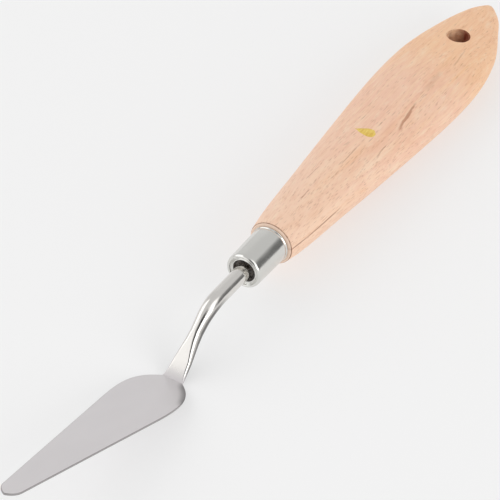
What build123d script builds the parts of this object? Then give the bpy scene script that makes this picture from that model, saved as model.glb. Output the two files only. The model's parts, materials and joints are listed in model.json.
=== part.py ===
from build123d import *
import os
from math import cos, radians, sin, tan

# Palette knife: a turned and shaped beech handle, a drawn steel ferrule on the handle's spigot, a cranked
# steel neck whose tang is bonded into the handle, and a thin sprung blade that joins the neck at the heel.
#
# Millimetres. +X runs from the butt towards the blade's tip and +Z is up. The knife lies at rest, on its
# heel and on the belly of its handle. The origin is on the table, under the middle of the knife's length,
# and the knife is symmetric about the XZ plane.

# Lengths along the knife
ferrule_length = 12.8
neck_reach = 15.3  # straight rod, from the ferrule's mouth to the corner of the crank
blade_length = 72.8  # from the neck to the blade's tip

# Angles in the XZ plane, in degrees
handle_pitch = 2.8  # the handle climbs towards the ferrule
neck_fall = 36.8  # the neck drops to the heel
blade_rise = 17.6  # the blade climbs from the heel

# Handle: distance from the shoulder, half width and half thickness of the oval section, and how far the
# section's centre is above the handle's axis
handle_stations = [
    (0.0, 5.75, 5.75, 0.0),
    (8.0, 6.8, 6.3, 0.0),
    (20.0, 7.85, 6.8, 0.0),
    (35.0, 9.3, 7.1, 0.0),
    (50.0, 10.65, 7.2, 0.0),
    (64.0, 11.8, 7.1, 0.0),
    (76.0, 12.3, 6.7, 0.0),
    (86.0, 11.85, 6.0, 0.15),
    (94.0, 10.35, 5.3, 0.45),
    (101.0, 8.3, 4.5, 0.85),
    (106.5, 6.1, 3.8, 1.1),
    (110.0, 4.1, 3.2, 1.2),
    (112.0, 2.1, 2.7, 1.25),
]
handle_fullness = 0.62  # 0.55 would be an ellipse and 1 a rectangle
nose_round = 1.2
belly_swell = 0.0328  # the surface between two stations stands proud of them
spigot_clearance = 1.2  # from the spigot's end to the ferrule's front face
spigot_chamfer = 0.5
spigot_root = 1.0  # overlap that joins the spigot to the body of the handle
spigot_front_radius = 4.13
spigot_rear_radius = 4.42
hang_hole_radius = 3.0
hang_hole_distance = 93.0  # from the shoulder

# Ferrule: a drawn cap with an in-turned lip
ferrule_front_radius = 4.7
ferrule_rear_radius = 5.0
ferrule_wall = 0.5
ferrule_mouth_radius = 2.95
ferrule_rim_round = 0.7
glue_line = 0.05  # left between bonded pieces

# Neck: a rod with a pointed tang behind it, flattened and flared towards the heel
rod_radius = 2.05
tang_length = 26.0  # behind the ferrule's mouth
tang_point = 6.0
tang_tip_radius = 0.8
crank_radius = 12.0
heel_radius = 1.7
heel_thickness = 1.401

# Adhesive around the tang
bore_radius = 2.35
bore_floor_gap = 0.8
meniscus_height = 0.45

# Blade outline in its own plane: distance from the neck and half width
blade_thickness = 0.55
blade_gap = 0.12  # room at the neck for the blade to flex
blade_root_half_width = 2.9
blade_shoulder = (3.6, 5.95)
blade_widest = (12.5, 7.85)
blade_straight_from = (22.0, 7.2)
blade_straight_to = (69.2, 2.6)

# Section of a round bar in cubic quarter curves
round_fullness = 0.5523

# Placement in the XZ plane
handle_length = handle_stations[-1][0]  # from the wood's shoulder to the butt
pitch = radians(handle_pitch)
fall = radians(neck_fall)
rise = radians(blade_rise)
shoulder_height = max(s * sin(pitch) + (t - c) * cos(pitch) for s, w, t, c in handle_stations) + belly_swell
spigot_length = ferrule_length - spigot_clearance
crank_height = shoulder_height + (ferrule_length + neck_reach) * sin(pitch)
heel_sag = heel_radius * (1 / cos((fall + rise) / 2) - 1)
heel_corner_height = heel_thickness / 2 - heel_sag
neck_run = (crank_height - heel_corner_height) / sin(fall)
heel_setback = heel_radius * tan((fall + rise) / 2)
seam_distance = heel_setback + 0.2  # from the heel's corner, along the blade

front_reach = (ferrule_length + neck_reach) * cos(pitch) + neck_run * cos(fall)
front_reach += (seam_distance + blade_length) * cos(rise)
back_reach = handle_length * cos(pitch)
shoulder_x = (back_reach - front_reach) / 2

shoulder = Vector(shoulder_x, 0, shoulder_height)
forward = Vector(cos(pitch), 0, sin(pitch))
upward = Vector(-sin(pitch), 0, cos(pitch))
downhill = Vector(cos(fall), 0, -sin(fall))
uphill = Vector(cos(rise), 0, sin(rise))
mouth = shoulder + forward * ferrule_length
crank_corner = mouth + forward * neck_reach
heel_corner = crank_corner + downhill * neck_run
seam = heel_corner + uphill * seam_distance

# Side view of the handle's axis: local x runs forward and local y runs up
side_plane = Plane(origin=shoulder, x_dir=forward, z_dir=(0, -1, 0))
handle_axis = Axis(shoulder, forward)


def cross_plane(point, direction):
    """The plane across the knife at a point: local x is the knife's width and local y its height."""
    return Plane(origin=point, x_dir=(0, 1, 0), z_dir=direction)


def oval(plane, half_width, half_height, fullness):
    """A closed section made of four quarter curves, from round to nearly rectangular."""
    w = half_width
    h = half_height
    f = fullness
    with BuildSketch(plane) as section:
        with BuildLine():
            Bezier((w, 0), (w, f * h), (f * w, h), (0, h))
            Bezier((0, h), (-f * w, h), (-w, f * h), (-w, 0))
            Bezier((-w, 0), (-w, -f * h), (-f * w, -h), (0, -h))
            Bezier((0, -h), (f * w, -h), (w, -f * h), (w, 0))
        make_face()
    return section.sketch


def bend_stations(corner, before, after, radius, count):
    """Points and directions round a bend of the given radius, from its start to its end."""
    turn = radians(before.get_angle(after))
    setback = radius * tan(turn / 2)
    start = corner - before * setback
    side = after - before * before.dot(after)
    inward = side.normalized()
    centre = start + inward * radius
    stations = []
    for step in range(count):
        angle = turn * step / (count - 1)
        point = centre - inward * (radius * cos(angle)) + before * (radius * sin(angle))
        direction = before * cos(angle) + inward * sin(angle)
        stations.append((point, direction))
    return stations


# --- Handle ---------------------------------------------------------------------------------------------
handle_sections = []
for distance, half_width, half_thickness, centre_rise in handle_stations:
    plane = cross_plane(shoulder - forward * distance + upward * centre_rise, -forward)
    fullness = handle_fullness if distance > 0 else round_fullness
    handle_sections.append(oval(plane, half_width, half_thickness, fullness))

with BuildPart() as handle:
    loft(sections=handle_sections)
    butt_face = handle.faces().sort_by(Axis.X)[0]
    fillet(butt_face.edges(), radius=nose_round)
    with BuildSketch(side_plane):
        with BuildLine():
            Polyline(
                (-spigot_root, 0),
                (-spigot_root, spigot_rear_radius),
                (0, spigot_rear_radius),
                (spigot_length - spigot_chamfer, spigot_front_radius),
                (spigot_length, spigot_front_radius - spigot_chamfer),
                (spigot_length, 0),
                close=True,
            )
        make_face()
    revolve(axis=handle_axis)
    bore_depth = tang_length + bore_floor_gap - (ferrule_length - spigot_length)
    with BuildSketch(cross_plane(shoulder + forward * spigot_length, -forward)):
        Circle(bore_radius)
    extrude(amount=bore_depth, mode=Mode.SUBTRACT)
    hang_hole_centre = shoulder - forward * hang_hole_distance
    hang_hole_plane = Plane(origin=hang_hole_centre, x_dir=forward, z_dir=upward)
    with BuildSketch(hang_hole_plane):
        Circle(hang_hole_radius)
    extrude(amount=2 * handle_stations[0][2], both=True, mode=Mode.SUBTRACT)
handle.part.label = "handle"

# --- Ferrule --------------------------------------------------------------------------------------------
with BuildPart() as ferrule:
    with BuildSketch(side_plane):
        with BuildLine():
            Polyline(
                (0, ferrule_rear_radius - ferrule_wall),
                (0, ferrule_rear_radius),
                (ferrule_length, ferrule_front_radius),
                (ferrule_length, ferrule_mouth_radius),
                (ferrule_length - ferrule_wall, ferrule_mouth_radius),
                (ferrule_length - ferrule_wall, ferrule_front_radius - ferrule_wall),
                close=True,
            )
        make_face()
    revolve(axis=handle_axis)
    rim = ferrule.edges().filter_by(GeomType.CIRCLE).group_by(Axis.X)[-1].sort_by(SortBy.RADIUS)[-1]
    fillet(rim, radius=ferrule_rim_round)
ferrule.part.label = "ferrule"

# --- Neck -----------------------------------------------------------------------------------------------
crank_stations = bend_stations(crank_corner, forward, downhill, crank_radius, 4)
heel_stations = bend_stations(heel_corner, downhill, uphill, heel_radius, 4)
crank_start = crank_stations[0][0]
crank_end = crank_stations[-1][0]
heel_start = heel_stations[0][0]
flat_run = heel_start - crank_end
run_stations = [(crank_end + flat_run * share, downhill) for share in (0, 0.25, 0.5, 0.75, 1)]

tang_end = mouth - forward * tang_length
tang_stations = [(tang_end, forward), (tang_end + forward * tang_point, forward), (crank_start, forward)]
seam_stations = [heel_stations[-1], (seam, uphill)]

# Half width, half thickness and fullness at each station of the five stretches
rod_bar = (rod_radius, rod_radius, round_fullness)
tang_bars = [(tang_tip_radius, tang_tip_radius, round_fullness), rod_bar, rod_bar]
crank_bars = [rod_bar, (2.05, 2.05, 0.56), (1.9, 2.05, 0.62), (1.7, 2.0, 0.74)]
run_bars = [crank_bars[-1], (1.6, 1.95, 0.84), (1.75, 1.75, 0.9), (2.05, 1.45, 0.92), (2.35, 1.0, 0.92)]
heel_bars = [run_bars[-1], (2.5, 0.8, 0.92), (2.7, 0.6, 0.92), (2.86, 0.46, 0.92)]
seam_bars = [heel_bars[-1], (2.9, 0.4, 0.92)]


def bar_sections(stations, bars):
    """The sections of one stretch of the neck."""
    sections = []
    for (point, direction), (half_width, half_height, fullness) in zip(stations, bars):
        sections.append(oval(cross_plane(point, direction), half_width, half_height, fullness))
    return sections


with BuildPart() as neck:
    loft(sections=bar_sections(tang_stations, tang_bars), ruled=True)
    loft(sections=bar_sections(crank_stations, crank_bars))
    loft(sections=bar_sections(run_stations, run_bars))
    loft(sections=bar_sections(heel_stations, heel_bars))
    loft(sections=bar_sections(seam_stations, seam_bars), ruled=True)
neck.part.label = "neck"

# --- Tang adhesive --------------------------------------------------------------------------------------
with BuildPart() as tang_adhesive:
    bottom = ferrule_length - tang_length - bore_floor_gap
    outer = bore_radius - glue_line
    inner = rod_radius
    with BuildSketch(side_plane):
        with BuildLine():
            Polyline(
                (bottom + glue_line, 0),
                (bottom + glue_line, outer),
                (spigot_length + glue_line, outer),
                (spigot_length + glue_line, ferrule_mouth_radius - glue_line),
                (ferrule_length, ferrule_mouth_radius - glue_line),
                (ferrule_length + meniscus_height, inner),
                (ferrule_length - tang_length + tang_point, inner),
                (ferrule_length - tang_length, tang_tip_radius),
                (ferrule_length - tang_length, 0),
                close=True,
            )
        make_face()
    revolve(axis=handle_axis)
tang_adhesive.part.label = "tang_adhesive"

# --- Blade ----------------------------------------------------------------------------------------------
blade_normal = Vector(-sin(rise), 0, cos(rise))
blade_plane = Plane(origin=seam - blade_normal * (blade_thickness / 2), x_dir=uphill, z_dir=blade_normal)
with BuildPart() as blade:
    with BuildSketch(blade_plane):
        with BuildLine():
            Line((blade_gap, 0), (blade_gap, blade_root_half_width))
            Spline(
                (blade_gap, blade_root_half_width),
                blade_shoulder,
                blade_widest,
                blade_straight_from,
                tangents=[(1, 1.1), Vector(*blade_straight_to) - Vector(*blade_straight_from)],
            )
            Line(blade_straight_from, blade_straight_to)
            tip_edge = Vector(*blade_straight_to) - Vector(*blade_straight_from)
            TangentArc(blade_straight_to, (blade_length, 0), tangent=tip_edge)
            mirror(about=Plane.XZ)
        make_face()
    extrude(amount=blade_thickness)
blade.part.label = "blade"

os.makedirs("parts", exist_ok=True)
for piece in (handle, ferrule, neck, tang_adhesive, blade):
    export_step(piece.part, f"parts/{piece.part.label}.step")
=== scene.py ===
import json
from math import asin, cos, pi, radians, sin, tan

import bmesh
import bpy
import numpy as np
from mathutils import Matrix, Vector, noise


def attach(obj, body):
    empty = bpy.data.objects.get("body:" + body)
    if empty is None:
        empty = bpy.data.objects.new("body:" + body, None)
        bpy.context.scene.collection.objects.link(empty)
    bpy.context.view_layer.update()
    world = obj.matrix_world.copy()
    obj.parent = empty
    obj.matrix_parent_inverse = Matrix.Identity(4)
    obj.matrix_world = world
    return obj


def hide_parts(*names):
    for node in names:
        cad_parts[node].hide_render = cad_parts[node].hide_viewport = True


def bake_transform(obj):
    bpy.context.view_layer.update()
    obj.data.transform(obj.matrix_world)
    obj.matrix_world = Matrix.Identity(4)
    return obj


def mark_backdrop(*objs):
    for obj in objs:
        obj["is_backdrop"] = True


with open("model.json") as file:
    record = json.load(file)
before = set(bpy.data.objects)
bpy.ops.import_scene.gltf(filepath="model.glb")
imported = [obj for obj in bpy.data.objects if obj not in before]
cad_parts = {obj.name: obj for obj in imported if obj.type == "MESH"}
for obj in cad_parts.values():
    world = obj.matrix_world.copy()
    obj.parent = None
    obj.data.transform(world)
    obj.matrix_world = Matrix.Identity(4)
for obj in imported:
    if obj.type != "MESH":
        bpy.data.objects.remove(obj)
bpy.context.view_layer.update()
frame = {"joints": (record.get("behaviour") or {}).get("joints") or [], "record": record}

MM = 0.001

# ---------------------------------------------------------------------------------------------------------
# Where things are: the hanging hole's axis gives the handle's frame, and the joint gives the blade's root
# ---------------------------------------------------------------------------------------------------------
hole_mount = next(m for m in frame["record"]["mounts"] if m["name"] == "hang_hole")
flex_joint = next(j for j in frame["joints"] if j["name"] == "blade_flex")
SIDE = Vector((0, 1, 0))
HANDLE_UP = Vector(hole_mount["axis"]).normalized()
HANDLE_FORWARD = Vector((HANDLE_UP.z, 0, -HANDLE_UP.x))
HOLE_DISTANCE = 93.0  # from the wood's shoulder back to the hole
HOLE_MIDDLE_RISE = 0.26815  # the middle of the hole's wall above the handle's axis
SHOULDER = (
    Vector(hole_mount["pos_m"]) + HANDLE_FORWARD * HOLE_DISTANCE * MM - HANDLE_UP * HOLE_MIDDLE_RISE * MM
)
BLADE_ROOT = Vector(flex_joint["pos_m"])
BLADE_GAP = 0.12
BLADE_RISE = radians(17.6)
BLADE_ALONG = Vector((cos(BLADE_RISE), 0, sin(BLADE_RISE)))
BLADE_UP = Vector((-sin(BLADE_RISE), 0, cos(BLADE_RISE)))
SEAM = BLADE_ROOT - BLADE_ALONG * BLADE_GAP * MM

# Sizes in millimetres
FERRULE_LENGTH = 12.8
NECK_REACH = 15.3
NECK_FALL = radians(36.8)
CRANK_RADIUS = 12.0
HEEL_RADIUS = 1.7
HEEL_LEAD = 4.6  # how far up the neck the heel starts to curve
HEEL_STEP = 0.2  # from the end of the heel's curve to the seam
ROD_RADIUS = 2.05
TANG_LENGTH = 26.0
TANG_POINT = 6.0  # length of its taper
TANG_TIP_RADIUS = 0.8
BLADE_LENGTH = 72.8
BLADE_THICKNESS = 0.55
HOLE_RADIUS = hole_mount["dims"]["r_mm"]
MOUTH = SHOULDER + HANDLE_FORWARD * FERRULE_LENGTH * MM

# The blade's outline: distance from the seam along the blade, and half width
BLADE_ROOT_HALF_WIDTH = 2.9
BLADE_SHOULDER = (3.6, 5.95)
BLADE_WIDEST = (12.5, 7.85)
BLADE_STRAIGHT_FROM = (22.0, 7.2)
BLADE_STRAIGHT_TO = (69.2, 2.6)


# ---------------------------------------------------------------------------------------------------------
# Mesh helpers
# ---------------------------------------------------------------------------------------------------------
def in_handle(points):
    """Points given as (forward of the shoulder, across, up) in mm, in the row frame in metres."""
    axes = np.array([HANDLE_FORWARD, SIDE, HANDLE_UP])
    return np.asarray(points, float) @ axes * MM + np.array(SHOULDER)


def in_blade(points):
    """Points given as (along the blade from the seam, across, up) in mm, in the row frame in metres."""
    axes = np.array([BLADE_ALONG, SIDE, BLADE_UP])
    return np.asarray(points, float) @ axes * MM + np.array(SEAM)


def make_object(name, points, faces, material, sharp_angle=40):
    mesh = bpy.data.meshes.new(name)
    mesh.from_pydata([tuple(p) for p in points], [], faces)
    mesh.validate()
    mesh.materials.append(material)
    mesh.shade_smooth()
    mesh.set_sharp_from_angle(angle=radians(sharp_angle))
    piece = bpy.data.objects.new(name, mesh)
    bpy.context.scene.collection.objects.link(piece)
    return piece


def ring_faces(ring_count, ring_size, close_rings=False, cap_first=False, cap_last=False):
    """Quads between rings of points, either closed into a torus or capped at their ends."""
    faces = []
    for i in range(ring_count if close_rings else ring_count - 1):
        a = i * ring_size
        b = ((i + 1) % ring_count) * ring_size
        for k in range(ring_size):
            n = (k + 1) % ring_size
            faces.append((a + k, a + n, b + n, b + k))
    if cap_first:
        faces.append(tuple(reversed(range(ring_size))))
    if cap_last:
        faces.append(tuple(range((ring_count - 1) * ring_size, ring_count * ring_size)))
    return faces


def oval_ring(count, fullness):
    """A unit section made of four cubic quarter curves, from round (0.5523) to nearly square (1)."""
    t = np.arange(count // 4) / (count // 4)
    u = 1 - t
    x = u**3 + 3 * u * u * t + 3 * u * t * t * fullness
    y = 3 * u * u * t * fullness + 3 * u * t * t + t**3
    return np.concatenate([np.stack(p, 1) for p in ((x, y), (-y, x), (-x, -y), (y, -x))])


def forged_ring(count, half_width, half_height, corner):
    """A bar's section, flat above and below with bulging sides; a circle when all three sizes are equal."""
    turn = radians(50)  # how far the corner turns before the side's own arc takes over
    side_radius = (half_height - corner * (1 - cos(turn))) / cos(turn)
    flat = half_width - side_radius * (1 - sin(turn)) - corner * sin(turn)
    per_quarter = count // 4
    corner_steps = per_quarter * 2 // 5
    side_steps = per_quarter - corner_steps
    quarter = []
    for k in range(corner_steps):
        angle = turn * k / corner_steps
        quarter.append((flat + corner * sin(angle), half_height - corner * (1 - cos(angle))))
    for k in range(side_steps):
        angle = turn + (pi / 2 - turn) * (k + 0.5) / side_steps
        quarter.append((half_width - side_radius * (1 - sin(angle)), side_radius * cos(angle)))
    upper = quarter[::-1] + [(-x, z) for x, z in quarter]
    lower = [(-x, -z) for x, z in quarter[::-1]] + [(x, -z) for x, z in quarter]
    return np.array(upper + lower)


def smooth_curve(knots, values):
    """A natural cubic spline through values at the knots; returns a function of position."""
    x = np.asarray(knots, float)
    y = np.asarray(values, float)
    n = len(x)
    h = np.diff(x)
    system = np.eye(n)
    right = np.zeros_like(y)
    for i in range(1, n - 1):
        system[i, i - 1 : i + 2] = h[i - 1], 2 * (h[i - 1] + h[i]), h[i]
        right[i] = 6 * ((y[i + 1] - y[i]) / h[i] - (y[i] - y[i - 1]) / h[i - 1])
    bend = np.linalg.solve(system, right)

    def at(position):
        i = int(np.clip(np.searchsorted(x, position) - 1, 0, n - 2))
        a, b = x[i + 1] - position, position - x[i]
        straight = (y[i] / h[i] - bend[i] * h[i] / 6) * a + (y[i + 1] / h[i] - bend[i + 1] * h[i] / 6) * b
        return straight + (bend[i] * a**3 + bend[i + 1] * b**3) / (6 * h[i])

    return at


def lathe(name, profile, material, segments=144, wobble=None, sharp_angle=40):
    """Turns a closed profile of (forward, radius) round the handle's axis."""
    points = []
    for index, (forward, radius) in enumerate(profile):
        for k in range(segments):
            angle = 2 * pi * k / segments
            f, r = wobble(index, angle, forward, radius) if wobble else (forward, radius)
            points.append((f, r * cos(angle), r * sin(angle)))
    faces = ring_faces(len(profile), segments, close_rings=True)
    return make_object(name, in_handle(points), faces, material, sharp_angle)


# ---------------------------------------------------------------------------------------------------------
# Material helpers
# ---------------------------------------------------------------------------------------------------------
class Nodes:
    """Short calls for the nodes of one tree."""

    def __init__(self, tree):
        self.tree = tree

    def node(self, kind, inputs=None, **settings):
        made = self.tree.nodes.new(kind)
        for key, value in settings.items():
            setattr(made, key, value)
        for key, value in (inputs or {}).items():
            self.put(made, key, value)
        return made

    def put(self, node, key, value):
        if isinstance(value, bpy.types.NodeSocket):
            self.tree.links.new(value, node.inputs[key])
        else:
            node.inputs[key].default_value = value

    def math(self, operation, a, b=0.0):
        return self.node("ShaderNodeMath", {0: a, 1: b}, operation=operation).outputs[0]

    def product(self, first, *others):
        for other in others:
            first = self.math("MULTIPLY", first, other)
        return first

    def remap(self, value, low, high, to_low=0.0, to_high=1.0):
        """Eases from to_low to to_high while the value goes from low to high."""
        inputs = {"Value": value, "From Min": low, "From Max": high, "To Min": to_low, "To Max": to_high}
        return self.node("ShaderNodeMapRange", inputs, interpolation_type="SMOOTHSTEP").outputs[0]


class Shader(Nodes):
    """A node material; a plain colour is given as its three linear values."""

    def __init__(self, name):
        self.material = bpy.data.materials.new(name)
        self.material.use_nodes = True
        super().__init__(self.material.node_tree)
        self.surface = self.tree.nodes["Principled BSDF"]

    def vector(self, operation, *inputs):
        return self.node("ShaderNodeVectorMath", dict(enumerate(inputs)), operation=operation).outputs[0]

    def split(self, vector):
        return self.node("ShaderNodeSeparateXYZ", {0: vector}).outputs[:3]

    def millimetres(self, pitch=0.0):
        """Object coordinates in millimetres, turned so that X runs along the piece."""
        inputs = {"Vector": self.node("ShaderNodeTexCoord").outputs["Object"], "Angle": pitch}
        turned = self.node("ShaderNodeVectorRotate", inputs, rotation_type="Y_AXIS").outputs[0]
        return self.vector("MULTIPLY", turned, (1000, 1000, 1000))

    def noise(self, place, stretch, shift=(0, 0, 0), detail=2.0, roughness=0.5, distortion=0.0):
        inputs = {"Vector": self.vector("MULTIPLY_ADD", place, stretch, shift), "Scale": 1.0}
        inputs.update({"Detail": detail, "Roughness": roughness, "Distortion": distortion})
        return self.node("ShaderNodeTexNoise", inputs).outputs["Fac"]

    def ramp(self, factor, stops):
        made = self.node("ShaderNodeValToRGB", {"Fac": factor})
        elements = made.color_ramp.elements
        elements[0].position, elements[0].color = stops[0][0], (*stops[0][1], 1)
        elements[1].position, elements[1].color = stops[-1][0], (*stops[-1][1], 1)
        for position, colour in stops[1:-1]:
            elements.new(position).color = (*colour, 1)
        return made.outputs["Color"]

    def mix(self, factor, a, b):
        made = self.node("ShaderNodeMix", data_type="RGBA")
        self.put(made, 0, factor)
        for key, value in ((6, a), (7, b)):
            self.put(made, key, (*value, 1) if isinstance(value, tuple) else value)
        return made.outputs[2]

    def bump(self, height, strength, distance):
        inputs = {"Height": height, "Strength": strength, "Distance": distance}
        return self.node("ShaderNodeBump", inputs).outputs[0]

    def set(self, **inputs):
        for key, value in inputs.items():
            self.put(self.surface, key.replace("_", " "), value)


def srgb(red, green, blue):
    """Display values from 0 to 255 as linear colour."""
    out = []
    for value in (red, green, blue):
        v = value / 255
        out.append(v / 12.92 if v <= 0.04045 else ((v + 0.055) / 1.055) ** 2.4)
    return tuple(out)


def scaled(colour, amount):
    return tuple(amount * channel for channel in colour)


BLADE_COLOUR = srgb(213, 209, 210)
HANDLE_PITCH = asin(-HANDLE_UP.x)
# The shoulder in the frame of the wood's grain, which is turned to lie along the handle
SHOULDER_ALONG, _, AXIS_HEIGHT = Matrix.Rotation(HANDLE_PITCH, 3, "Y") @ SHOULDER / MM
SIDE_LINE_HEIGHT = AXIS_HEIGHT + 0.7  # of the dark line along the handle's near side
GRAIN_MARKS = (  # middle (along, across), half length, slope, half width, strength
    ((SHOULDER_ALONG - 55.3, 6.1), 6.5, 0.125, 0.42, 0.6),
    ((SHOULDER_ALONG - 71.5, 4.5), 5.5, 0.05, 1.1, 0.16),
    ((SHOULDER_ALONG - 84.0, 5.0), 4.0, 0.1, 0.3, 0.3),
    ((SHOULDER_ALONG - 33.0, 2.4), 5.0, 0.02, 0.25, 0.4),
    ((SHOULDER_ALONG - 22.0, -1.6), 3.5, -0.03, 0.22, 0.4),
    ((SHOULDER_ALONG - 14.0, 1.0), 2.5, 0.03, 0.25, 0.45),
    ((SHOULDER_ALONG - 40.5, 7.2), 3.0, 0.08, 0.25, 0.4),
)


def beech_material():
    """Plain-sawn beech: soft bands, fine fibres, short dark flecks along the grain and a few marks."""
    wood = Shader("beech")
    place = wood.millimetres(HANDLE_PITCH)
    along, across, height = wood.split(place)
    bend = wood.noise(place, (0.025, 0.09, 0.09))
    grain = wood.vector("ADD", place, wood.vector("MULTIPLY", bend, (0.0, 4.5, 3.0)))

    bands = wood.noise(grain, (0.018, 0.34, 0.34), detail=4.0, roughness=0.62, distortion=0.5)
    pale, peach = srgb(252, 221, 194), srgb(250, 210, 180)
    pink, orange = srgb(246, 200, 174), srgb(247, 196, 158)
    base = wood.ramp(bands, [(0.3, orange), (0.42, peach), (0.52, pink), (0.6, peach), (0.72, pale)])
    broad = wood.noise(grain, (0.012, 0.12, 0.12), (7, 3, 5))
    mottle = wood.noise(grain, (0.22, 0.7, 0.7), (31, 7, 3), detail=3.0, roughness=0.6)
    fibres = wood.noise(grain, (0.14, 2.4, 2.4), detail=3.0, roughness=0.7)
    for factor, colour in (
        (wood.remap(broad, 0.48, 0.68, 0.0, 0.5), srgb(240, 184, 148)),
        (wood.remap(along, -55.0, 0.0, 0.0, 0.5), srgb(253, 224, 200)),  # paler towards the ferrule
        (wood.remap(along, -66.0, -88.0, 0.0, 0.55), srgb(249, 198, 148)),  # more orange at the butt
        (wood.remap(mottle, 0.5, 0.75, 0.0, 0.45), srgb(252, 226, 200)),
        (wood.remap(mottle, 0.48, 0.3, 0.0, 0.22), srgb(228, 172, 138)),
        (wood.remap(fibres, 0.5, 0.78, 0.0, 0.36), srgb(210, 154, 118)),
        (wood.remap(fibres, 0.48, 0.25, 0.0, 0.4), srgb(252, 224, 196)),
    ):
        base = wood.mix(factor, base, colour)

    def flecks(scale, shift, share, core, rim):
        """Short dashes: stretched cells, of which only a share is marked."""
        place_in_cells = wood.vector("MULTIPLY_ADD", grain, scale, shift)
        cells = wood.node("ShaderNodeTexVoronoi", {"Vector": place_in_cells, "Scale": 1.0})
        chosen = wood.node("ShaderNodeSeparateColor", {"Color": cells.outputs["Color"]}).outputs["Red"]
        favoured = wood.math("ADD", chosen, wood.remap(along, -80.0, -15.0, 0.0, 0.3))
        favoured = wood.math("ADD", favoured, wood.remap(across, -4.0, 5.0, -0.06, 0.12))
        picked = wood.math("GREATER_THAN", favoured, 1.0 - share)
        return wood.math("MULTIPLY", wood.remap(cells.outputs["Distance"], core, rim, 1.0, 0.0), picked)

    short_dashes = flecks((0.4, 2.9, 2.9), (5, 9, 2), 0.3, 0.1, 0.4)
    long_dashes = flecks((0.17, 2.1, 2.1), (15, 2, 8), 0.14, 0.08, 0.3)
    base = wood.mix(wood.product(short_dashes, 0.34), base, srgb(176, 118, 88))
    base = wood.mix(wood.product(long_dashes, 0.36), base, srgb(160, 104, 76))

    def mark(middle, reach, slope, half_width):
        """One mark on the upper side, given by its middle, half length, slope and half width."""
        off_along = wood.math("SUBTRACT", along, middle[0])
        off_across = wood.math("SUBTRACT", across, middle[1])
        off_across = wood.math("SUBTRACT", off_across, wood.product(off_along, slope))
        wander = wood.product(wood.math("SUBTRACT", mottle, 0.5), 0.9)
        off_across = wood.math("ABSOLUTE", wood.math("ADD", off_across, wander))
        inside = wood.remap(off_across, half_width, half_width * 0.2, 0.0, 1.0)
        ends = wood.remap(wood.math("ABSOLUTE", off_along), reach, reach * 0.55, 0.0, 1.0)
        return wood.product(inside, ends, wood.math("GREATER_THAN", height, AXIS_HEIGHT))

    for middle, reach, slope, half_width, strength in GRAIN_MARKS:
        shade = wood.product(mark(middle, reach, slope, half_width), strength)
        base = wood.mix(shade, base, srgb(166, 100, 66))
    off_line = wood.math("SUBTRACT", height, wood.product(along, -0.03))
    off_line = wood.math("ABSOLUTE", wood.math("SUBTRACT", off_line, SIDE_LINE_HEIGHT))
    side_line = wood.product(
        wood.remap(off_line, 0.3, 0.08),
        wood.math("GREATER_THAN", across, 3.0),
        wood.remap(along, -21.0, -16.0),
        wood.remap(mottle, 0.3, 0.5, 0.3, 0.7),
    )
    base = wood.mix(side_line, base, srgb(150, 96, 70))
    bare_edge = wood.remap(along, SHOULDER_ALONG - 0.2, SHOULDER_ALONG - 0.05, 0.0, 0.6)
    base = wood.mix(bare_edge, base, srgb(252, 228, 210))
    # darker end grain on the rounded shoulder, deepened by painted shade where the wood meets the ferrule
    end_grain_and_shade_rim = wood.product(
        wood.remap(along, SHOULDER_ALONG - 0.5, SHOULDER_ALONG - 0.3),
        wood.remap(along, SHOULDER_ALONG - 0.05, SHOULDER_ALONG - 0.2),
        wood.remap(mottle, 0.3, 0.65, 0.9, 0.45),
    )
    base = wood.mix(end_grain_and_shade_rim, base, srgb(118, 74, 52))

    roughness = wood.remap(fibres, 0.3, 0.8, 0.46, 0.64)
    dents = wood.math("ADD", wood.product(short_dashes, 0.6), wood.product(long_dashes, 0.8))
    relief = wood.math("SUBTRACT", wood.product(fibres, 0.5), dents)
    wood.set(Base_Color=base, Roughness=roughness, Normal=wood.bump(relief, 0.45, 0.00008))
    wood.set(Specular_IOR_Level=0.35)
    return wood.material


def bore_material():
    """The drilled wall of the hole, with drill rings and random dark blotches; painted shade darkens it
    deeper down and towards its +Y side.
    """
    wood = Shader("drilled_beech")
    place = wood.millimetres(HANDLE_PITCH)
    rings = wood.noise(place, (0.5, 0.5, 5.0), detail=3.0, roughness=0.6)
    across, height = wood.split(place)[1:]
    blotch = wood.noise(place, (0.9, 0.9, 0.5), (4, 2, 8))
    tan_wood, light_wood, pale_wood = srgb(236, 176, 134), srgb(250, 206, 166), srgb(255, 224, 190)
    base = wood.ramp(rings, [(0.3, tan_wood), (0.5, light_wood), (0.75, pale_wood)])
    # painted shade: darker towards the wall's +Y side and deeper down in the hole, plus random dark blotches
    side = wood.remap(across, -2.2, 0.6, 0.0, 0.85)
    depth = wood.remap(height, AXIS_HEIGHT - 5.0, AXIS_HEIGHT + 1.0, 0.25, 0.0)
    painted_shade_and_blotches = wood.math("ADD", depth, wood.remap(blotch, 0.4, 0.7, 0.0, 0.25))
    painted_shade_and_blotches = wood.node("ShaderNodeClamp", {0: wood.math("ADD", painted_shade_and_blotches, side)}).outputs[0]
    base = wood.mix(painted_shade_and_blotches, base, srgb(128, 54, 28))
    wood.set(Base_Color=base, Roughness=0.75, Normal=wood.bump(rings, 0.3, 0.0001))
    return wood.material


PAINTED_SHADE_FADE = 7.0  # mm over which the painted shade on the neck's lower flanks grows in
SATIN_FADE = 3.8  # mm over which its flare turns from polished to satin


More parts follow.
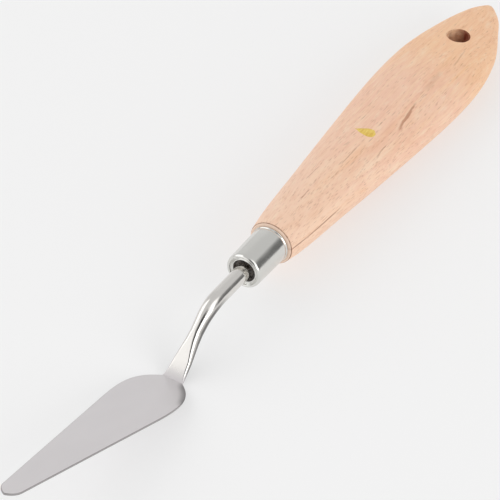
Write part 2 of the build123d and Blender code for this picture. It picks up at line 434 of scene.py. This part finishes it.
def polished_material(name, colour, roughness, scratch, pitch, painted_shade_from=None, satin_from=None):
    """Bright plated steel with faint smudges and fine lines; its lower flanks may be given painted shade."""
    metal = Shader(name)
    place = metal.millimetres(pitch)
    smudge = metal.noise(place, (0.18, 0.35, 0.35), (3, 1, 6), detail=3.0, roughness=0.6)
    lines = metal.noise(place, (0.25, 9.0, 9.0), roughness=0.7)
    specks = metal.noise(place, (2.2, 2.2, 2.2), (9, 9, 9))
    finish = metal.remap(smudge, 0.35, 0.75, roughness, roughness + 0.1)
    rough = metal.math("ADD", finish, metal.remap(lines, 0.4, 0.9, 0.0, 0.05))
    tone = metal.mix(metal.remap(specks, 0.55, 0.8, 0.0, 0.2), colour, scaled(colour, 0.82))
    if painted_shade_from is not None:
        upward = metal.split(metal.node("ShaderNodeTexCoord").outputs["Normal"])[2]
        along = metal.split(metal.millimetres())[0]
        reached = metal.remap(along, painted_shade_from, painted_shade_from + PAINTED_SHADE_FADE)
        # painted shade: the downward-facing flanks are darkened to stand in for the dark they reflect from
        # below
        painted_flank_shade = metal.product(metal.remap(upward, 0.5, 0.12), reached, 0.9)
        tone = metal.mix(painted_flank_shade, tone, scaled(colour, 0.14))
        satin = metal.remap(along, satin_from, satin_from + SATIN_FADE)
        tone = metal.mix(satin, tone, BLADE_COLOUR)
        rough = metal.math("ADD", rough, metal.product(satin, 0.3))
        metal.set(Metallic=metal.remap(satin, 0.0, 1.0, 0.98, 0.3))
    else:
        metal.set(Metallic=1.0)
    metal.set(Base_Color=tone, Roughness=rough)
    metal.set(Normal=metal.bump(metal.math("ADD", lines, metal.product(smudge, 0.6)), scratch, 0.00003))
    return metal.material


# The widest place in the frame of the blade's brushing, which is turned to lie along the blade
BRUSHED_WIDEST = (Matrix.Rotation(BLADE_RISE, 3, "Y") @ SEAM).x / MM + BLADE_WIDEST[0]
SHOULDER_OVAL = (12.9, 7.95)  # half axes of the oval that the blade's round shoulder nearly follows


def satin_material(name, colour, pitch):
    """Ground spring steel: even satin with very fine lines along the blade, and painted shade along the near
    side of its round shoulder.
    """
    metal = Shader(name)
    place = metal.millimetres(pitch)
    lines = metal.noise(place, (0.1, 7.0, 7.0), detail=3.0, roughness=0.7)
    cloud = metal.noise(place, (0.06, 0.14, 0.14), (2, 5, 1))
    tone = metal.mix(metal.remap(cloud, 0.3, 0.7, 0.0, 0.25), colour, scaled(colour, 0.9))
    tone = metal.mix(metal.remap(lines, 0.55, 0.85, 0.0, 0.18), tone, scaled(colour, 1.12))
    rough = metal.remap(lines, 0.3, 0.8, 0.3, 0.4)
    along, across = metal.split(place)[:2]
    from_widest = metal.math("DIVIDE", metal.math("SUBTRACT", along, BRUSHED_WIDEST), SHOULDER_OVAL[0])
    from_middle = metal.math("DIVIDE", across, SHOULDER_OVAL[1])
    along_squared = metal.math("POWER", metal.math("ABSOLUTE", from_widest), 2.0)
    oval = metal.math("ADD", along_squared, metal.math("POWER", from_middle, 2.0))
    # painted shade: a darker band along the +Y side of the blade's round shoulder, for the shadow it
    # reflects
    rim = metal.product(
        metal.remap(oval, 0.62, 1.0),
        metal.remap(across, 1.5, 4.0),
        metal.remap(from_widest, -0.15, -0.45),
        0.8,
    )
    tone = metal.mix(rim, tone, scaled(colour, 0.25))
    metal.set(Base_Color=tone, Metallic=0.25, Roughness=rough)
    metal.set(Normal=metal.bump(lines, 0.12, 0.00002))
    return metal.material


def resin_material():
    """Cured adhesive squeezed out round the tang: nearly black, glossy and lumpy."""
    resin = Shader("cured_resin")
    place = resin.millimetres()
    lumps = resin.noise(place, (1.6, 1.6, 1.6), detail=3.0, roughness=0.6)
    base = resin.ramp(lumps, [(0.35, srgb(22, 17, 13)), (0.6, srgb(58, 48, 40)), (0.8, srgb(104, 92, 80))])
    resin.set(Base_Color=base, Roughness=resin.remap(lumps, 0.3, 0.7, 0.12, 0.4))
    resin.set(Normal=resin.bump(lumps, 0.6, 0.0002))
    return resin.material


def paint_material():
    """A dab of yellow paint, thin at its edge."""
    paint = Shader("yellow_dab")
    place = paint.millimetres()
    streaks = paint.noise(place, (0.5, 2.0, 2.0), detail=3.0)
    ochre, yellow, cream = srgb(224, 182, 78), srgb(240, 208, 104), srgb(245, 224, 146)
    base = paint.ramp(streaks, [(0.35, ochre), (0.6, yellow), (0.8, cream)])
    paint.set(Base_Color=base, Roughness=0.45, Normal=paint.bump(streaks, 0.4, 0.00005))
    return paint.material


# ---------------------------------------------------------------------------------------------------------
# Handle
# ---------------------------------------------------------------------------------------------------------
# Distance from the shoulder, half width, half thickness, and height of the section's centre; the last two
# rows lie a little inside the CAD handle's
HANDLE_STATIONS = (
    (0.0, 5.75, 5.75, 0.0),
    (8.0, 6.8, 6.3, 0.0),
    (20.0, 7.85, 6.8, 0.0),
    (35.0, 9.3, 7.1, 0.0),
    (50.0, 10.65, 7.2, 0.0),
    (64.0, 11.8, 7.1, 0.0),
    (76.0, 12.3, 6.7, 0.0),
    (86.0, 11.85, 6.0, 0.15),
    (94.0, 10.35, 5.3, 0.45),
    (101.0, 8.3, 4.5, 0.85),
    (106.5, 6.1, 3.8, 1.1),
    (110.0, 3.95, 3.15, 1.2),
    (112.0, 1.75, 2.6, 1.25),
)
HANDLE_FULLNESS = 0.62
ROUND_FULLNESS = 0.5523  # of the round section at the shoulder
OVAL_FROM = 4.0  # from the shoulder to where the section has its own fullness
HANDLE_END = HANDLE_STATIONS[-1][0]
NOSE_ROUND = 0.9
BUTT_TRIM = 0.62  # the near side of the butt is sanded back by twice this, and the far side not at all
BUTT_TRIM_START = 94.0
BUTT_TRIM_RUN = 13.0  # over which the trim grows to its full depth
SHOULDER_ROUND = 0.35
SANDING = 0.03  # depth of the uneven sanding
RING_SIZE = 128
SPIGOT_REAR_RADIUS = 4.42
SPIGOT_FRONT_RADIUS = 4.13
SPIGOT_CLEARANCE = 1.2  # from the spigot's end to the ferrule's front face
SPIGOT_CHAMFER = 0.5
BORE_RADIUS = 2.35
BORE_FLOOR_GAP = 0.8
HOLE_FLARE = 0.14
HOLE_MOUTH = (  # depth below the wood's surface, and how far the hole is widened there
    (-3.0, HOLE_FLARE),
    (-0.02, HOLE_FLARE),
    (0.1, 0.08),
    (0.3, 0.02),
    (0.55, 0.0),
)

handle_knots = [s[0] for s in HANDLE_STATIONS]
half_width_at, half_thickness_at, centre_at = (
    smooth_curve(handle_knots, [s[column] for s in HANDLE_STATIONS]) for column in (1, 2, 3)
)


def smooth_step(t):
    t = min(max(t, 0.0), 1.0)
    return t * t * (3 - 2 * t)


def handle_ring(distance, inset=0.0, at=None):
    """One section of the handle; at is where it is placed, when that isn't its own distance."""
    share = min(distance / OVAL_FROM, 1.0)
    unit = oval_ring(RING_SIZE, ROUND_FULLNESS + (HANDLE_FULLNESS - ROUND_FULLNESS) * share)
    trim = BUTT_TRIM * smooth_step((distance - BUTT_TRIM_START) / BUTT_TRIM_RUN)
    w = half_width_at(distance) - inset - trim
    h = half_thickness_at(distance) - inset
    c = centre_at(distance)
    place = distance if at is None else at
    ring = []
    for x, y in unit:
        worn = 1 - SANDING / h * (0.5 + 0.5 * noise.noise(Vector((place * 0.11, x * 1.6, y * 1.6 + 3))))
        ring.append((-place, x * w * worn - trim, c + y * h * worn))
    return ring


def circle_ring(forward, radius):
    angles = 2 * pi * np.arange(RING_SIZE) / RING_SIZE
    return [(forward, radius * cos(a), radius * sin(a)) for a in angles]


def surface_height(distance, across, side):
    """Height of the handle's upper (side 1) or lower (side -1) surface."""
    unit = oval_ring(400, HANDLE_FULLNESS)[:101]
    x, y = unit[::-1, 0], unit[::-1, 1]
    reach = np.interp(abs(across) / half_width_at(distance), x, y)
    return centre_at(distance) + side * reach * half_thickness_at(distance)


def make_handle(wood, bore):
    """The body from the butt to the shoulder, then the spigot and the tang's bore, then the hole."""
    rings = [handle_ring(HANDLE_END, NOSE_ROUND)]
    for angle in np.linspace(0.12, pi / 2, 9):
        distance = HANDLE_END - NOSE_ROUND * (1 - cos(angle))
        rings.append(handle_ring(distance, NOSE_ROUND * (1 - sin(angle))))
    for distance in np.linspace(HANDLE_END - NOSE_ROUND, SHOULDER_ROUND, 150)[1:]:
        rings.append(handle_ring(distance))
    for angle in np.linspace(0, pi / 2, 5)[1:]:
        rings.append(handle_ring(0.0, SHOULDER_ROUND * (1 - cos(angle)), SHOULDER_ROUND * (1 - sin(angle))))
    spigot_end = FERRULE_LENGTH - SPIGOT_CLEARANCE
    for forward, radius in (
        (0.0, SPIGOT_REAR_RADIUS),
        (spigot_end - SPIGOT_CHAMFER, SPIGOT_FRONT_RADIUS),
        (spigot_end, SPIGOT_FRONT_RADIUS - SPIGOT_CHAMFER),
        (spigot_end, BORE_RADIUS),
        (FERRULE_LENGTH - TANG_LENGTH - BORE_FLOOR_GAP, BORE_RADIUS),
    ):
        rings.append(circle_ring(forward, radius))
    points = in_handle(np.concatenate([np.array(r) for r in rings]))
    faces = ring_faces(len(rings), RING_SIZE, cap_first=True, cap_last=True)
    handle = make_object("wood_handle", points, faces, wood)

    # The hole's cutter: its ends widen where they meet the wood's surface, a little unevenly
    segments = 72
    cutter_rings = [(-1, depth, flare) for depth, flare in HOLE_MOUTH]
    cutter_rings += [(1, depth, flare) for depth, flare in reversed(HOLE_MOUTH)]
    cutter_points = []
    for side, depth, flare in cutter_rings:
        for k in range(segments):
            angle = 2 * pi * k / segments
            ragged = 0.5 + noise.noise(Vector((cos(angle) * 2.1, sin(angle) * 2.1, side * 4)))
            radius = HOLE_RADIUS + flare * (0.55 + 0.9 * ragged)
            along, across = radius * cos(angle), radius * sin(angle)
            height = surface_height(HOLE_DISTANCE - along, across, side) - side * depth
            cutter_points.append((-HOLE_DISTANCE + along, across, height))
    faces = ring_faces(len(cutter_rings), segments, cap_first=True, cap_last=True)
    cutter = make_object("hole_cutter", in_handle(cutter_points), faces, wood)
    drill = handle.modifiers.new("drill", "BOOLEAN")
    drill.object = cutter
    drill.operation = "DIFFERENCE"
    drill.solver = "EXACT"
    depsgraph = bpy.context.evaluated_depsgraph_get()
    shaped = bpy.data.meshes.new_from_object(handle.evaluated_get(depsgraph))
    handle.modifiers.clear()
    handle.data = shaped
    bpy.data.objects.remove(cutter)
    shaped.materials.append(bore)
    axis_point = in_handle([(-HOLE_DISTANCE, 0, 0)])[0]
    hole_axis = np.array(HANDLE_UP)
    wall_reach = (HOLE_RADIUS + 0.07) * MM  # faces nearer to the hole's axis than this are its wall
    for face in shaped.polygons:
        offset = np.array(face.center) - axis_point
        offset -= hole_axis * (offset @ hole_axis)
        if np.linalg.norm(offset) < wall_reach:
            face.material_index = 1
    shaped.set_sharp_from_angle(angle=radians(32))
    return handle


# ---------------------------------------------------------------------------------------------------------
# Ferrule and adhesive
# ---------------------------------------------------------------------------------------------------------
FERRULE_PROFILE = (  # forward of the shoulder, radius: rear bead, wall, rim, rings of the lip, inside
    (0.02, 4.5),
    (0.02, 4.8),
    (0.07, 4.92),
    (0.2, 4.99),
    (0.38, 5.0),
    (0.54, 4.97),
    (0.64, 4.88),
    (0.72, 4.83),
    (0.84, 4.82),
    (1.0, 4.85),
    (1.3, 4.86),
    (4.0, 4.83),
    (8.0, 4.76),
    (11.3, 4.69),
    (11.9, 4.68),
    (12.2, 4.65),
    (12.45, 4.57),
    (12.65, 4.44),
    (12.77, 4.28),
    (12.79, 4.12),
    (12.73, 3.98),
    (12.6, 3.88),
    (12.42, 3.82),
    (12.32, 3.72),
    (12.34, 3.6),
    (12.42, 3.52),
    (12.36, 3.43),
    (12.28, 3.36),
    (12.36, 3.28),
    (12.4, 3.18),
    (12.36, 3.06),
    (12.26, 2.98),
    (12.1, 2.95),
    (11.95, 3.0),
    (11.9, 3.2),
    (11.95, 3.8),
    (11.7, 4.1),
    (11.2, 4.19),
)


def make_ferrule(metal):
    def wobble(index, angle, forward, radius):
        dent = 0.012 * noise.noise(Vector((forward * 0.4, cos(angle) * 2, sin(angle) * 2)))
        return forward, radius - abs(dent)

    return lathe("ferrule_shell", FERRULE_PROFILE, metal, 160, wobble, 50)


def make_adhesive(resin):
    """A lumpy ring between the rod and the ferrule's mouth, running down beside the tang."""
    steps = 18
    inner, outer, widest = ROD_RADIUS - 0.04, 3.3, 3.4
    usual_reach = 0.82
    surface, behind_lip, bore_mouth, floor = 12.12, 12.0, 11.68, -14.0
    profile = [(surface, inner + (outer - inner) * step / steps) for step in range(steps + 1)]
    profile += [(surface - 0.02, outer), (behind_lip, 2.9), (bore_mouth, BORE_RADIUS - 0.05)]
    profile += [(floor, BORE_RADIUS - 0.05), (floor, inner)]

    def wobble(index, angle, forward, radius):
        if index > steps:
            return forward, radius
        share = index / steps
        lump = noise.noise(Vector((cos(angle) * 3.1, sin(angle) * 3.1, share * 3.4)))
        swell = noise.noise(Vector((cos(angle) * 1.3 + 5, sin(angle) * 1.3, 2)))
        reach = usual_reach + 0.18 * noise.noise(Vector((cos(angle) * 1.8, sin(angle) * 1.8, 9)))
        radius = inner + (outer * (0.86 + 0.22 * swell) - inner) * share * reach / usual_reach
        mound = (0.3 + 0.42 * lump + 0.35 * swell) * sin(pi * share) ** 0.6
        climb = (0.75 + 0.5 * lump) * (1 - share) ** 2.5  # it creeps up the rod
        return forward + mound + climb, min(radius, widest)

    return lathe("adhesive_ring", profile, resin, 144, wobble, 60)


# ---------------------------------------------------------------------------------------------------------
# Neck
# ---------------------------------------------------------------------------------------------------------
def bend(corner, before, after, lead, reach, count):
    """Places round a corner, from lead before it to reach after it, without the first one."""
    start, end = corner - before * lead, corner + after * reach
    out = []
    for t in np.linspace(0, 1, count)[1:]:
        point = (1 - t) ** 2 * start + 2 * t * (1 - t) * corner + t * t * end
        tangent = (1 - t) * before * lead + t * after * reach
        out.append((t, point, tangent / np.linalg.norm(tangent)))
    return out


def neck_path():
    """Places along the neck, in mm from the mouth: stretch, share of it, (X, Z) point, direction."""
    forward = np.array([cos(HANDLE_PITCH), sin(HANDLE_PITCH)])
    along = np.array([cos(BLADE_RISE), sin(BLADE_RISE)])
    seam = np.array([(SEAM.x - MOUTH.x) / MM, (SEAM.z - MOUTH.z) / MM])
    heel_setback = HEEL_RADIUS * tan((NECK_FALL + BLADE_RISE) / 2)
    heel = seam - along * (heel_setback + HEEL_STEP)
    crank = forward * NECK_REACH
    crank_setback = CRANK_RADIUS * tan((HANDLE_PITCH + NECK_FALL) / 2)
    down = (heel - crank) / np.linalg.norm(heel - crank)

    tang_start = -forward * TANG_LENGTH
    rod_start, rod_end = tang_start + forward * TANG_POINT, crank - forward * crank_setback
    run_start, run_end = crank + down * crank_setback, heel - down * HEEL_LEAD

    def straight(stretch, start, end, direction, shares):
        return [(stretch, share, start * (1 - share) + end * share, direction) for share in shares]

    stations = straight("tang", tang_start, rod_start, forward, (0, 0.5, 1))
    stations += straight("rod", rod_start, rod_end, forward, np.linspace(0, 1, 30)[1:])
    stations += [("crank", *place) for place in bend(crank, forward, down, crank_setback, crank_setback, 32)]
    stations += straight("run", run_start, run_end, down, np.linspace(0, 1, 48)[1:])
    stations += [("heel", *place) for place in bend(heel, down, along, HEEL_LEAD, heel_setback, 22)]
    stations += straight("seam", seam - along * HEEL_STEP, seam, along, (0.5, 1.0))
    return stations


ROD_BAR = (ROD_RADIUS, ROD_RADIUS, ROD_RADIUS)
NECK_BARS = {  # share of the stretch, half width, half thickness, corner radius
    "tang": ((0, TANG_TIP_RADIUS, TANG_TIP_RADIUS, TANG_TIP_RADIUS), (1, *ROD_BAR)),
    "rod": ((0, *ROD_BAR), (1, *ROD_BAR)),
    "crank": ((0, *ROD_BAR), (0.3, 2.05, 2.05, 1.95), (0.65, 1.9, 2.03, 1.7), (1, 1.7, 1.98, 1.4)),
    "run": (
        (0, 1.7, 1.98, 1.4),
        (0.25, 1.6, 1.92, 1.2),
        (0.5, 1.74, 1.72, 1.05),
        (0.75, 2.04, 1.42, 0.85),
        (1, 2.34, 0.98, 0.6),
    ),
    "heel": ((0, 2.34, 0.98, 0.6), (0.33, 2.5, 0.78, 0.5), (0.66, 2.7, 0.56, 0.38), (1, 2.86, 0.36, 0.24)),
    "seam": ((0, 2.86, 0.36, 0.24), (1, 2.9, 0.28, 0.16)),
}


def make_neck(metal):
    places = []
    size = 160
    for stretch, share, point, direction in neck_path():
        shares, *sizes = zip(*NECK_BARS[stretch])
        half_width, half_height, corner = (np.interp(share, shares, values) for values in sizes)
        up = np.array([-direction[1], direction[0]])
        for across, rise in forged_ring(size, half_width, half_height, corner):
            spot = point + up * rise
            places.append((spot[0], across, spot[1]))
    points = np.array(places) * MM + np.array(MOUTH)
    faces = ring_faces(len(points) // size, size, cap_first=True, cap_last=True)
    return make_object("neck_bar", points, faces, metal, 50)


# ---------------------------------------------------------------------------------------------------------
# Blade
# ---------------------------------------------------------------------------------------------------------
LEAF_START = 0.012  # from the seam to the visible blade's root
ROOT_TANGENT = (1, 1.1)
EDGE_ROUND = 0.14


def tangent_spline(anchors, first, last, steps):
    """Points on a smooth curve through the anchors, with given directions at both ends, without its end."""
    h = np.linalg.norm(np.diff(anchors, axis=0), axis=1)
    n = len(anchors)
    system = np.eye(n)
    right = np.zeros((n, 2))
    right[0], right[-1] = (np.array(d) / np.linalg.norm(d) for d in (first, last))
    for i in range(1, n - 1):
        system[i, i - 1 : i + 2] = 1 / h[i - 1], 2 * (1 / h[i - 1] + 1 / h[i]), 1 / h[i]
        steps_in = (anchors[i] - anchors[i - 1]) / h[i - 1] ** 2
        steps_out = (anchors[i + 1] - anchors[i]) / h[i] ** 2
        right[i] = 3 * (steps_in + steps_out)
    tangents = np.linalg.solve(system, right)
    points = []
    for i in range(n - 1):
        leave, arrive = tangents[i] * h[i], tangents[i + 1] * h[i]
        for t in np.linspace(0, 1, steps)[:-1]:
            blend = 3 * t * t - 2 * t**3
            point = (1 - blend) * anchors[i] + blend * anchors[i + 1]
            points.append(point + (t**3 - 2 * t * t + t) * leave + (t**3 - t * t) * arrive)
    return points


def blade_outline():
    """Half of the outline, from the root round the shoulder to the tip: (along, across)."""
    straight = np.array([BLADE_STRAIGHT_FROM, BLADE_STRAIGHT_TO])
    slope = (straight[1][1] - straight[0][1]) / (straight[1][0] - straight[0][0])
    # shoulder: one curve through the same four points as the blade's own outline
    anchors = np.array(
        [(LEAF_START, BLADE_ROOT_HALF_WIDTH), BLADE_SHOULDER, BLADE_WIDEST, BLADE_STRAIGHT_FROM]
    )
    points = tangent_spline(anchors, ROOT_TANGENT, (1, slope), 16)
    for share in np.linspace(0, 1, 60)[:-1]:
        points.append(straight[0] + (straight[1] - straight[0]) * share)
    # tip: an arc that leaves the straight edge smoothly and crosses the middle line at the tip
    tip = np.array([BLADE_LENGTH, 0.0])
    normal = np.array([slope, -1]) / np.hypot(1, slope)
    chord = tip - straight[1]
    radius = (chord @ chord) / (2 * (chord @ normal))
    centre = straight[1] + normal * radius
    first, last = (np.arctan2(*(end - centre)[::-1]) for end in (straight[1], tip))
    for angle in np.linspace(first, last, 20):
        points.append(centre + radius * np.array([cos(angle), sin(angle)]))
    return np.array(points)


def make_blade(metal, shaded_edge_metal):
    """A thin plate: matched points along both edges, joined by rows, with rounded edges."""
    edge = blade_outline()
    rows = len(edge)
    half = BLADE_THICKNESS / 2
    tangent = np.gradient(edge, axis=0)
    tangent /= np.linalg.norm(tangent, axis=1)[:, None]
    outward = np.stack([-tangent[:, 1], tangent[:, 0]], 1)
    outward[0] = (0, 1)
    outward[-1] = (1, 0)
    section = []  # across shares from the middle to the edge, then the rounded edge
    for share in (0.0, 0.25, 0.5, 0.75, 0.92, 0.99):
        section.append((share, 0.0, half))
    for angle in np.linspace(pi / 2, 0, 5):
        section.append((1.0, -EDGE_ROUND * (1 - cos(angle)), half - EDGE_ROUND * (1 - sin(angle))))
    loop = section + [(share, inset, -z) for share, inset, z in reversed(section)]
    points = []
    for side in (1, -1):
        for i in range(rows):
            for share, inset, z in loop:
                if share < 1:
                    limit = edge[i] - outward[i] * EDGE_ROUND * 1.5
                    x = edge[i][0] + (limit[0] - edge[i][0]) * share
                    y = max(limit[1], 0) * share
                else:
                    x, y = edge[i] + outward[i] * inset
                    y = max(y, 0)
                points.append((x, side * y, z))
    size = len(loop)
    faces = []
    for s in range(2):
        base = s * rows * size
        for i in range(rows - 1):
            for k in range(size - 1):
                a, b = base + i * size + k, base + (i + 1) * size + k
                quad = (a, b, b + 1, a + 1)
                faces.append(quad if s else tuple(reversed(quad)))
    root_right = list(range(size))
    root_left = list(range(rows * size, rows * size + size))
    faces.append(tuple(root_right + root_left[::-1]))
    blade = make_object("blade_leaf", in_blade(points), faces, metal, 50)
    blade.data.materials.append(shaded_edge_metal)
    flat_steps = sum(share < 1 for share, _, _ in section)
    # the rounded edge faces take the darker copy of the steel, which paints shade along the blade's rim
    for index, face in enumerate(blade.data.polygons[: 2 * (rows - 1) * (size - 1)]):
        if flat_steps <= index % (size - 1) < size - 1 - flat_steps:
            face.material_index = 1
    mesh = bmesh.new()
    mesh.from_mesh(blade.data)
    bmesh.ops.remove_doubles(mesh, verts=mesh.verts, dist=0.000002)
    bmesh.ops.dissolve_degenerate(mesh, edges=mesh.edges, dist=0.000001)
    bmesh.ops.recalc_face_normals(mesh, faces=mesh.faces)
    mesh.to_mesh(blade.data)
    mesh.free()
    blade.data.shade_smooth()
    blade.data.set_sharp_from_angle(angle=radians(50))
    return blade


# ---------------------------------------------------------------------------------------------------------
# Yellow dab on the handle
# ---------------------------------------------------------------------------------------------------------
DAB_PLACE = (-43.0, 1.0)  # forward of the shoulder, across
DAB_REACH = (2.8, 1.3)
DAB_SLANT = radians(100)
DAB_LIFT = 0.035  # its middle stands this far above the wood
DAB_DEPTH = 0.12  # and its floor is sunk this far below its rim


def make_dab(paint):
    """A small flat dab of paint that follows the wood's surface."""
    rings, size = 8, 48
    points = []
    for ring in range(rings + 1):
        share = ring / rings
        for k in range(size):
            angle = 2 * pi * k / size
            edge = 1 + 0.16 * noise.noise(Vector((cos(angle) * 1.7, sin(angle) * 1.7, 6)))
            u = DAB_REACH[0] * share * edge * cos(angle)
            v = DAB_REACH[1] * share * edge * sin(angle) * (1 + 0.75 * cos(angle))
            along = DAB_PLACE[0] + u * cos(DAB_SLANT) - v * sin(DAB_SLANT)
            across = DAB_PLACE[1] + u * sin(DAB_SLANT) + v * cos(DAB_SLANT)
            lift = DAB_LIFT * (1 - share**4) - 0.03 * (share == 1)
            points.append((along, across, surface_height(-along, across, 1) + lift))
    faces = ring_faces(rings + 1, size, cap_first=True)
    floor_points = [(a, c, z - DAB_DEPTH) for a, c, z in points[-size:]]
    count = len(points)
    for k in range(size):
        n = (k + 1) % size
        faces.append((count - size + k, count - size + n, count + n, count + k))
    faces.append(tuple(range(count, count + size)))
    return make_object("yellow_dab", in_handle(points + floor_points), faces, paint, 60)


# ---------------------------------------------------------------------------------------------------------
# Build and attach
# ---------------------------------------------------------------------------------------------------------
handle = make_handle(beech_material(), bore_material())
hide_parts("handle")
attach(handle, "handle")

ferrule = make_ferrule(polished_material("ferrule_plate", srgb(222, 221, 217), 0.13, 0.12, HANDLE_PITCH))
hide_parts("ferrule")
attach(ferrule, "handle")

adhesive = make_adhesive(resin_material())
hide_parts("tang_adhesive")
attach(adhesive, "handle")

# the neck's lower flanks get painted shade from 9 mm past the mouth on, and its flare turns satin before the
# seam
neck_steel = polished_material(
    "neck_steel", srgb(228, 225, 221), 0.12, 0.1, -NECK_FALL, MOUTH.x / MM + 9.0, SEAM.x / MM - 3.6
)
neck = make_neck(neck_steel)
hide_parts("neck")
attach(neck, "handle")

blade = make_blade(
    satin_material("blade_steel", BLADE_COLOUR, BLADE_RISE),
    # a darker copy of the blade steel for the edge faces: painted shade for the dark the edge reflects from
    # beneath the blade
    satin_material("blade_edge_painted_shade", srgb(160, 156, 156), BLADE_RISE),
)
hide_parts("blade")
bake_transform(blade)

dab = make_dab(paint_material())
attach(dab, "handle")


# ---------------------------------------------------------------------------------------------------------
# Floor, light and camera
# ---------------------------------------------------------------------------------------------------------
FLOOR_GLOW = 0.485  # the sheet is lit from beneath too, so the shadows on it are faint


def make_floor():
    side = 6.0
    cuts = 12
    drop = 0.00002  # below the knife
    points = []
    for i in range(cuts + 1):
        for j in range(cuts + 1):
            points.append((side * (i / cuts - 0.5), side * (j / cuts - 0.5), -drop))
    faces = []
    for i in range(cuts):
        for j in range(cuts):
            a = i * (cuts + 1) + j
            faces.append((a, a + cuts + 1, a + cuts + 2, a + 1))
    paper = Shader("pale_paper")
    paper.set(Base_Color=(0.45, 0.45, 0.45, 1), Roughness=1.0, Specular_IOR_Level=0.0)
    paper.set(Emission_Color=(1.0, 1.0, 1.0, 1.0), Emission_Strength=FLOOR_GLOW)
    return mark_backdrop(make_object("floor", points, faces, paper.material))


ROOM_LEVEL = 0.68
WORLD_LOBES = (  # toward, outer and inner half angle in degrees, and the change in brightness
    ((0.75, -0.5, 0.45), 37, 16, 0.52),  # softbox beyond the blade's far side
    ((-0.15, 0.62, 0.77), 28, 11, 0.75),  # small light above the handle's near side
    ((0.08, 0.95, 0.25), 26, 10, 0.35),  # bright side wall
    ((-0.95, -0.3, 0.12), 36, 8, 0.25),  # bright wall behind
    ((-0.66, 0.72, 0.2), 30, 8, -0.5),  # dark gap between the walls
    ((0.45, 0.47, 0.76), 31, 17, -0.62),  # the photographer's dark silhouette
)


def make_world():
    """An even pale room with a few soft lights and two dark places, for the metal to reflect."""
    world = bpy.data.worlds.new("studio")
    bpy.context.scene.world = world
    world.use_nodes = True
    room = Nodes(world.node_tree)
    direction = room.node("ShaderNodeTexCoord").outputs["Generated"]
    level = ROOM_LEVEL
    for toward, edge, core, change in WORLD_LOBES:
        inputs = {0: direction, 1: tuple(Vector(toward).normalized())}
        near = room.node("ShaderNodeVectorMath", inputs, operation="DOT_PRODUCT").outputs["Value"]
        lobe = room.remap(near, cos(radians(edge)), cos(radians(core)))
        level = room.math("ADD", level, room.product(lobe, change))
    background = world.node_tree.nodes["Background"]
    room.put(background, "Strength", level)
    room.put(background, "Color", (1.0, 1.0, 1.0, 1.0))


def make_softbox(name, direction, distance, size, power):
    light = bpy.data.lights.new(name, "AREA")
    light.shape = "RECTANGLE"
    light.size, light.size_y = size
    light.energy = power
    lamp = bpy.data.objects.new(name, light)
    bpy.context.scene.collection.objects.link(lamp)
    toward = Vector(direction).normalized()
    lamp.location = toward * distance
    lamp.rotation_mode = "QUATERNION"
    lamp.rotation_quaternion = toward.to_track_quat("Z", "Y")


def make_camera():
    """A long lens from the front right, looking down on the knife."""
    elevation, bearing, roll = radians(43.055), radians(59.878), radians(1.914)
    distance = 0.9
    lens, sensor = 269.96, 36.0
    frame_side = 500
    aim_x, aim_y = -8.285, 55.948  # where the ferrule's mouth falls, from the middle of the frame
    back = Vector((sin(bearing) * cos(elevation), cos(bearing) * cos(elevation), sin(elevation)))
    right = Vector((0, 0, 1)).cross(back).normalized()
    up = back.cross(right)
    right, up = right * cos(roll) + up * sin(roll), up * cos(roll) - right * sin(roll)
    target = Vector((MOUTH.x, 0, 0))
    focal = lens / sensor * frame_side
    axis = (back + right * (aim_x / focal) - up * (aim_y / focal)).normalized()
    right = up.cross(axis).normalized()
    up = axis.cross(right)
    data = bpy.data.cameras.new("camera")
    data.lens, data.sensor_width = lens, sensor
    data.clip_start, data.clip_end = 0.05, 20
    camera = bpy.data.objects.new("camera", data)
    bpy.context.scene.collection.objects.link(camera)
    turn = Matrix((right, up, axis)).transposed().to_4x4()
    camera.matrix_world = Matrix.Translation(target + back * distance) @ turn
    bpy.context.scene.camera = camera


make_floor()
make_world()
make_softbox("side_softbox", (0.12, 0.9, 0.42), 1.0, (0.7, 0.6), 2.4)
make_softbox("far_softbox", (0.1, -0.8, 0.6), 1.0, (0.8, 0.8), 1.6)
make_camera()
bpy.context.scene.view_settings.view_transform = "Standard"
